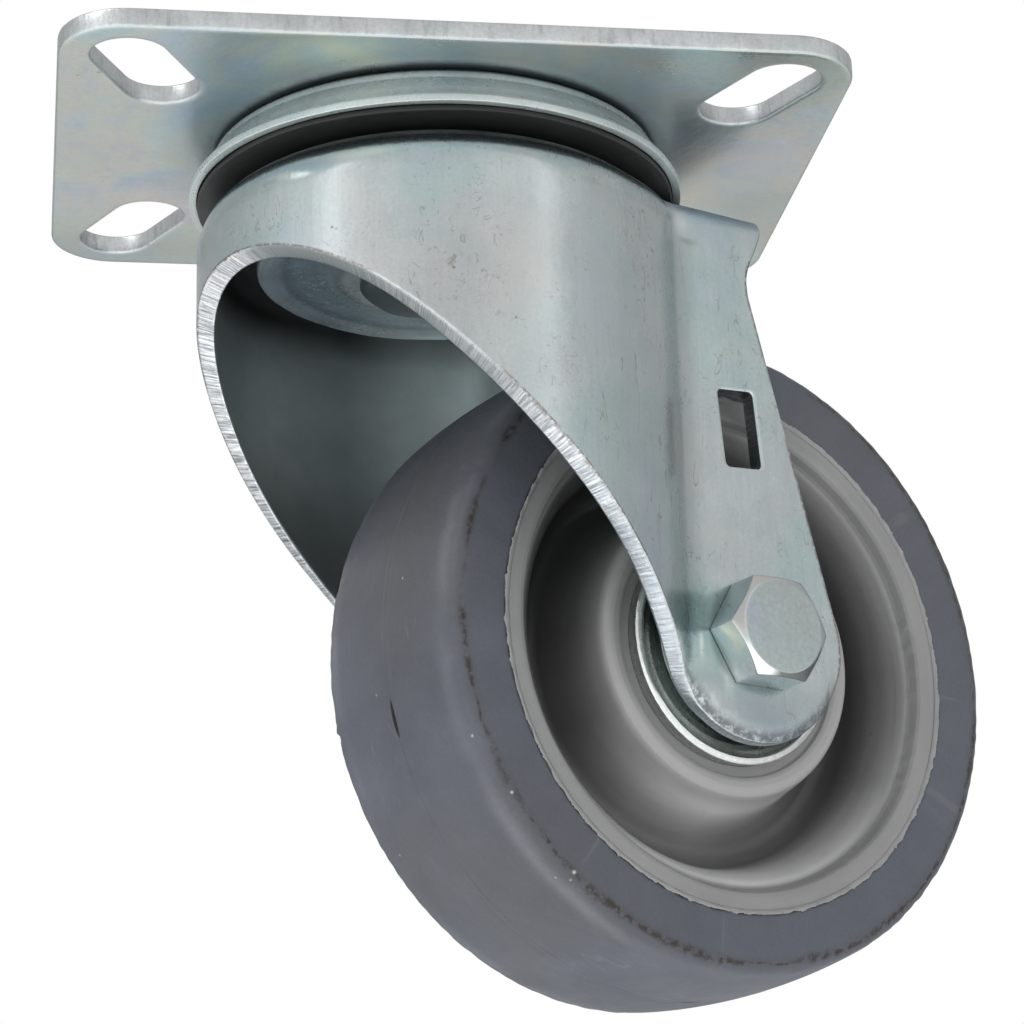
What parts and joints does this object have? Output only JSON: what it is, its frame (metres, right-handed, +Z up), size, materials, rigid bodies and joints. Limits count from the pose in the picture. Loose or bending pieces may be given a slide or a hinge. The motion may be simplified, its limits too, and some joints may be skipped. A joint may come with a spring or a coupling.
{
  "type": "swivel castor",
  "caption": "Swivel castor with a slotted top plate, round-fronted pressed steel fork, rubber-tyred wheel on a plastic hub and a ball bearing swivel head.",
  "frame": {"origin": "centre of the top plate's upper face, on the swivel axis", "axes": "+Z up along the swivel axis, out of the plate's mounting face; X along the plate's long side; the fork trails 25.5 degrees from +X towards +Y at rest"},
  "size_m": [0.1433, 0.0954, 0.1285],
  "materials": {
    "zinc_plate": "dull zinc plating, grey",
    "zinc_cup": "bright zinc plating",
    "zinc_lower": "blue zinc plating",
    "zinc_fork": "blue zinc plating, satin",
    "zinc_bolt": "zinc plating, faintly iridescent",
    "zinc_bearing": "zinc plating, rough",
    "ball_steel": "polished bearing steel",
    "seal": "black, satin",
    "nylon": "translucent white nylon",
    "hub_plastic": "warm grey moulded plastic",
    "tyre_rubber": "blue-grey thermoplastic rubber, matt"
  },
  "bodies": {
    "mount_body": {"top_plate": "zinc_plate", "upper_race": "zinc_cup", "dust_seal": "seal", "lower_race": "zinc_lower", "king_pin": "zinc_lower"},
    "upper_ball_row": {"upper_balls": "ball_steel"},
    "lower_ball_row": {"lower_balls": "ball_steel"},
    "fork_body": {"fork": "zinc_fork", "axle_bolt": "zinc_bolt", "lock_nut": "zinc_bolt", "lock_ring": "nylon", "axle_sleeve": "zinc_bearing", "bearing_cone_a": "zinc_bearing", "bearing_cone_b": "zinc_bearing", "bearing_cover_a": "zinc_bearing", "bearing_cover_b": "zinc_bearing"},
    "wheel_body": {"tyre": "tyre_rubber", "hub": "hub_plastic", "bearing_cup_a": "zinc_bearing", "bearing_cup_b": "zinc_bearing"},
    "wheel_ball_row_a": {"wheel_balls_a": "ball_steel"},
    "wheel_ball_row_b": {"wheel_balls_b": "ball_steel"}
  },
  "joints": [
    {"name": "swivel", "type": "hinge", "parent": "mount_body", "child": "fork_body", "pos_m": [0, 0, 0], "axis": [0, 0, 1], "continuous": true},
    {"name": "wheel_spin", "type": "hinge", "parent": "fork_body", "child": "wheel_body", "pos_m": [0.03519, 0.0168, -0.079], "axis": [0.4308, -0.9024, 0], "continuous": true},
    {"name": "upper_row_roll", "type": "hinge", "parent": "mount_body", "child": "upper_ball_row", "pos_m": [0, 0, 0], "axis": [0, 0, 1], "continuous": true},
    {"name": "lower_row_roll", "type": "hinge", "parent": "mount_body", "child": "lower_ball_row", "pos_m": [0, 0, 0], "axis": [0, 0, 1], "continuous": true},
    {"name": "wheel_row_a_roll", "type": "hinge", "parent": "fork_body", "child": "wheel_ball_row_a", "pos_m": [0.03519, 0.0168, -0.079], "axis": [0.4308, -0.9024, 0], "continuous": true},
    {"name": "wheel_row_b_roll", "type": "hinge", "parent": "fork_body", "child": "wheel_ball_row_b", "pos_m": [0.03519, 0.0168, -0.079], "axis": [0.4308, -0.9024, 0], "continuous": true}
  ],
  "couplings": [
    {"joint": "upper_row_roll", "follows": "swivel", "ratio": 0.5},
    {"joint": "lower_row_roll", "follows": "swivel", "ratio": 0.5},
    {"joint": "wheel_row_a_roll", "follows": "wheel_spin", "ratio": 0.5},
    {"joint": "wheel_row_b_roll", "follows": "wheel_spin", "ratio": 0.5}
  ]
}
